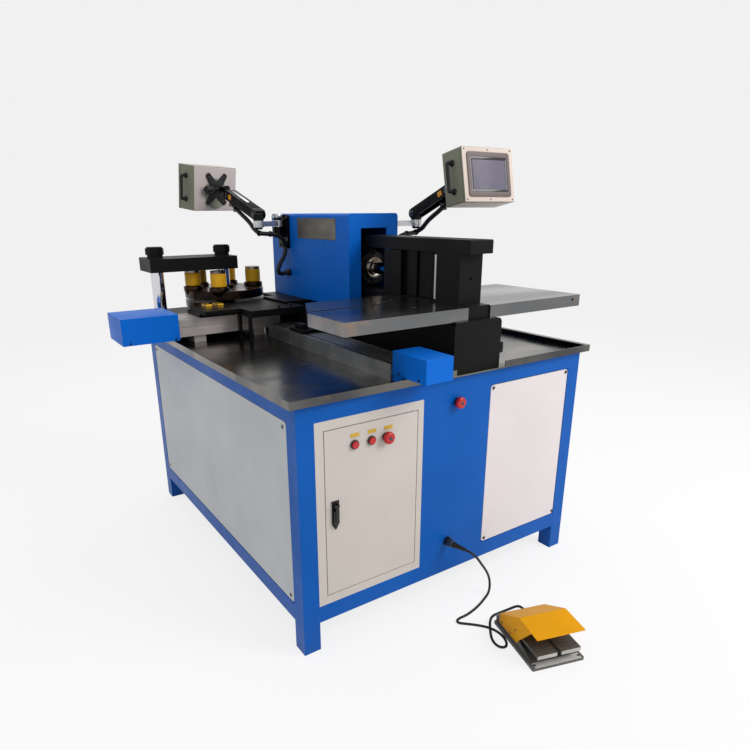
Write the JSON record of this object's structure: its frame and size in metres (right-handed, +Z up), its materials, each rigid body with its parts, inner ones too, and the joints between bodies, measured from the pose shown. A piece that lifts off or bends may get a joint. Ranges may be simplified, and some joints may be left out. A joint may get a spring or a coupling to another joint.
{
  "type": "busbar processing machine",
  "caption": "Floor-standing hydraulic machine for busbars: tube-framed cabinet carrying a horizontal bending press, a turret punch press, feed rails, two arm-hung control pendants and a corded foot pedal.",
  "frame": {"origin": "centre of the footprint of everything but the cable, on the ground", "axes": "+X to the right along the front of the cabinet, +Y to the back, +Z up"},
  "size_m": [1.506, 2.0912, 1.5903],
  "materials": {
    "frame_blue": "semi-gloss paint",
    "cream_paint": "fine textured paint",
    "panel_grey": "fine textured paint",
    "black_paint": "semi-gloss paint",
    "tray_steel": "polished steel with grinding streaks",
    "table_steel": "ground steel",
    "bright_steel": "hard chrome",
    "red_plastic": "gloss",
    "black_plastic": "matte",
    "rail_aluminium": "anodised",
    "yellow_sleeve": "worn satin",
    "jaw_brass": "machined",
    "oiled_steel": "oiled dark steel",
    "guard_orange": "gloss paint",
    "pedal_grey": "satin paint",
    "cable_rubber": "matte",
    "link_alloy": "satin cast alloy"
  },
  "bodies": {
    "machine": {"base_frame": "frame_blue", "side_panels": "panel_grey", "front_panel": "cream_paint", "front_sheet": "frame_blue", "door_surround": "cream_paint", "front_fittings": "bright_steel", "cable_plug": "black_plastic", "tray": "tray_steel", "press_base": "black_paint", "bending_frame": "black_paint", "bend_die": "table_steel", "ram_cylinder": "black_paint", "work_tables": "table_steel", "cylinder_cover": "frame_blue", "y_rail": "rail_aluminium", "x_rail": "rail_aluminium", "motor_covers": "frame_blue", "punch_base": "black_paint", "power_pack": "frame_blue", "arm_brackets": "black_paint", "pedal_base": "pedal_grey", "pedal_guard": "guard_orange", "pedal_cable": "cable_rubber"},
    "door": {"door_leaf": "cream_paint", "door_switch_rings": "bright_steel"},
    "lock": {"lock_cam": "black_paint"},
    "lever": {"lock_lever": "black_plastic"},
    "left_button": {"button_left": "red_plastic"},
    "right_button": {"button_right": "red_plastic"},
    "door_stop": {"door_stop_button": "red_plastic"},
    "front_stop": {"front_stop_button": "red_plastic"},
    "ram": {"ram_pusher": "black_paint", "ram_rod": "bright_steel"},
    "y_feed": {"y_carriage": "black_paint"},
    "x_feed": {"x_carriage": "black_paint", "clamp_jaws": "jaw_brass"},
    "press_head": {"crosshead": "black_paint", "guide_posts": "bright_steel"},
    "turret": {"upper_turret": "oiled_steel", "lower_turret": "oiled_steel", "punches": "oiled_steel", "strippers": "yellow_sleeve"},
    "active_punch": {"working_punch": "oiled_steel", "working_stripper": "yellow_sleeve"},
    "left_pedal": {"treadle_left": "pedal_grey"},
    "right_pedal": {"treadle_right": "pedal_grey"},
    "right_low": {"right_lower_arm": "link_alloy"},
    "right_elbow": {"right_elbow_post": "black_paint"},
    "right_lift": {"right_spring_arm": "black_paint"},
    "right_link": {"right_head_link": "black_paint"},
    "right_swivel": {"right_yoke": "black_paint"},
    "right_pendant": {"right_pendant_case": "cream_paint", "right_pendant_fittings": "black_paint"},
    "left_low": {"left_lower_arm": "link_alloy"},
    "left_elbow": {"left_elbow_post": "black_paint"},
    "left_lift": {"left_spring_arm": "black_paint"},
    "left_link": {"left_head_link": "black_paint"},
    "left_swivel": {"left_yoke": "black_paint"},
    "left_pendant": {"left_pendant_case": "cream_paint", "left_pendant_fittings": "black_paint"}
  },
  "joints": [
    {"name": "door_hinge", "type": "hinge", "parent": "machine", "child": "door", "pos_m": [-0.087, -0.52384, 0.48], "axis": [0, 0, 1], "range_deg": [0, 105]},
    {"name": "lock_turn", "type": "hinge", "parent": "door", "child": "lock", "pos_m": [-0.4, -0.52984, 0.512], "axis": [0, 1, 0], "range_deg": [0, 90]},
    {"name": "lever_lift", "type": "hinge", "parent": "lock", "child": "lever", "pos_m": [-0.4, -0.54034, 0.512], "axis": [-1, 0, 0], "range_deg": [0, 40]},
    {"name": "left_press", "type": "slide", "parent": "door", "child": "left_button", "axis": [0, 1, 0], "range_m": [0, 0.004], "stiffness_N_per_m": 900, "springref_m": -0.002},
    {"name": "right_press", "type": "slide", "parent": "door", "child": "right_button", "axis": [0, 1, 0], "range_m": [0, 0.004], "stiffness_N_per_m": 900, "springref_m": -0.002},
    {"name": "door_stop_press", "type": "slide", "parent": "door", "child": "door_stop", "axis": [0, 1, 0], "range_m": [0, 0.005]},
    {"name": "front_stop_press", "type": "slide", "parent": "machine", "child": "front_stop", "axis": [0, 1, 0], "range_m": [0, 0.005]},
    {"name": "ram_travel", "type": "slide", "parent": "machine", "child": "ram", "axis": [0, -1, 0], "range_m": [-0.125, 0.006]},
    {"name": "y_feed_travel", "type": "slide", "parent": "machine", "child": "y_feed", "axis": [0, -1, 0], "range_m": [0, 0.5]},
    {"name": "x_feed_travel", "type": "slide", "parent": "machine", "child": "x_feed", "axis": [-1, 0, 0], "range_m": [0, 0.075]},
    {"name": "press_stroke", "type": "slide", "parent": "machine", "child": "press_head", "axis": [0, 0, -1], "range_m": [0, 0.016]},
    {"name": "turret_turn", "type": "hinge", "parent": "machine", "child": "turret", "pos_m": [-0.2, 0.77016, 1.003], "axis": [0, 0, 1], "range_deg": [-120, 240]},
    {"name": "punch_stroke", "type": "slide", "parent": "turret", "child": "active_punch", "axis": [0, 0, -1], "range_m": [0, 0.016]},
    {"name": "right_wall_swing", "type": "hinge", "parent": "machine", "child": "right_low", "pos_m": [0.327, 0.17016, 1.322], "axis": [0, 0, 1], "range_deg": [-60, 60]},
    {"name": "right_elbow_swing", "type": "hinge", "parent": "right_low", "child": "right_elbow", "pos_m": [0.455, 0.16516, 1.322], "axis": [0, 0, -1], "range_deg": [-70, 70]},
    {"name": "right_arm_lift", "type": "hinge", "parent": "right_elbow", "child": "right_lift", "pos_m": [0.455, 0.16516, 1.362], "axis": [-0.9988, -0.048, 0], "range_deg": [-24, 10]},
    {"name": "right_head_level", "type": "hinge", "parent": "right_lift", "child": "right_link", "pos_m": [0.46456, -0.03387, 1.448], "axis": [-0.9988, -0.048, 0], "range_deg": [-10, 24]},
    {"name": "right_head_turn", "type": "hinge", "parent": "right_link", "child": "right_swivel", "pos_m": [0.466, -0.06384, 1.47], "axis": [0, 0, -1], "range_deg": [-50, 50]},
    {"name": "right_pendant_tilt", "type": "hinge", "parent": "right_swivel", "child": "right_pendant", "pos_m": [0.466, -0.11084, 1.47], "axis": [-1, 0, 0], "range_deg": [-15, 15]},
    {"name": "left_wall_swing", "type": "hinge", "parent": "machine", "child": "left_low", "pos_m": [0.019, 0.62016, 1.322], "axis": [0, 0, 1], "range_deg": [-60, 60]},
    {"name": "left_elbow_swing", "type": "hinge", "parent": "left_low", "child": "left_elbow", "pos_m": [-0.1, 0.56516, 1.322], "axis": [0, 0, -1], "range_deg": [-70, 70]},
    {"name": "left_arm_lift", "type": "hinge", "parent": "left_elbow", "child": "left_lift", "pos_m": [-0.1, 0.56516, 1.362], "axis": [0.9922, 0.1245, 0], "range_deg": [-24, 10]},
    {"name": "left_head_level", "type": "hinge", "parent": "left_lift", "child": "left_link", "pos_m": [-0.12826, 0.7904, 1.448], "axis": [0.9922, 0.1245, 0], "range_deg": [-10, 24]},
    {"name": "left_head_turn", "type": "hinge", "parent": "left_link", "child": "left_swivel", "pos_m": [-0.132, 0.82016, 1.47], "axis": [0, 0, -1], "range_deg": [-50, 50]},
    {"name": "left_pendant_tilt", "type": "hinge", "parent": "left_swivel", "child": "left_pendant", "pos_m": [-0.14878, 0.86406, 1.47], "axis": [0.9341, 0.357, 0], "range_deg": [-15, 15]},
    {"name": "left_treadle", "type": "hinge", "parent": "machine", "child": "left_pedal", "pos_m": [0.16543, -0.8788, 0.039], "axis": [0.9563, -0.2924, 0], "range_deg": [0, 8], "stiffness_Nm_per_rad": 12, "springref_deg": -6.88},
    {"name": "right_treadle", "type": "hinge", "parent": "machine", "child": "right_pedal", "pos_m": [0.16543, -0.8788, 0.039], "axis": [0.9563, -0.2924, 0], "range_deg": [0, 8], "stiffness_Nm_per_rad": 12, "springref_deg": -6.88}
  ],
  "couplings": [
    {"joint": "punch_stroke", "follows": "press_stroke", "ratio": 1},
    {"joint": "right_head_level", "follows": "right_arm_lift", "ratio": -1},
    {"joint": "left_head_level", "follows": "left_arm_lift", "ratio": -1}
  ]
}
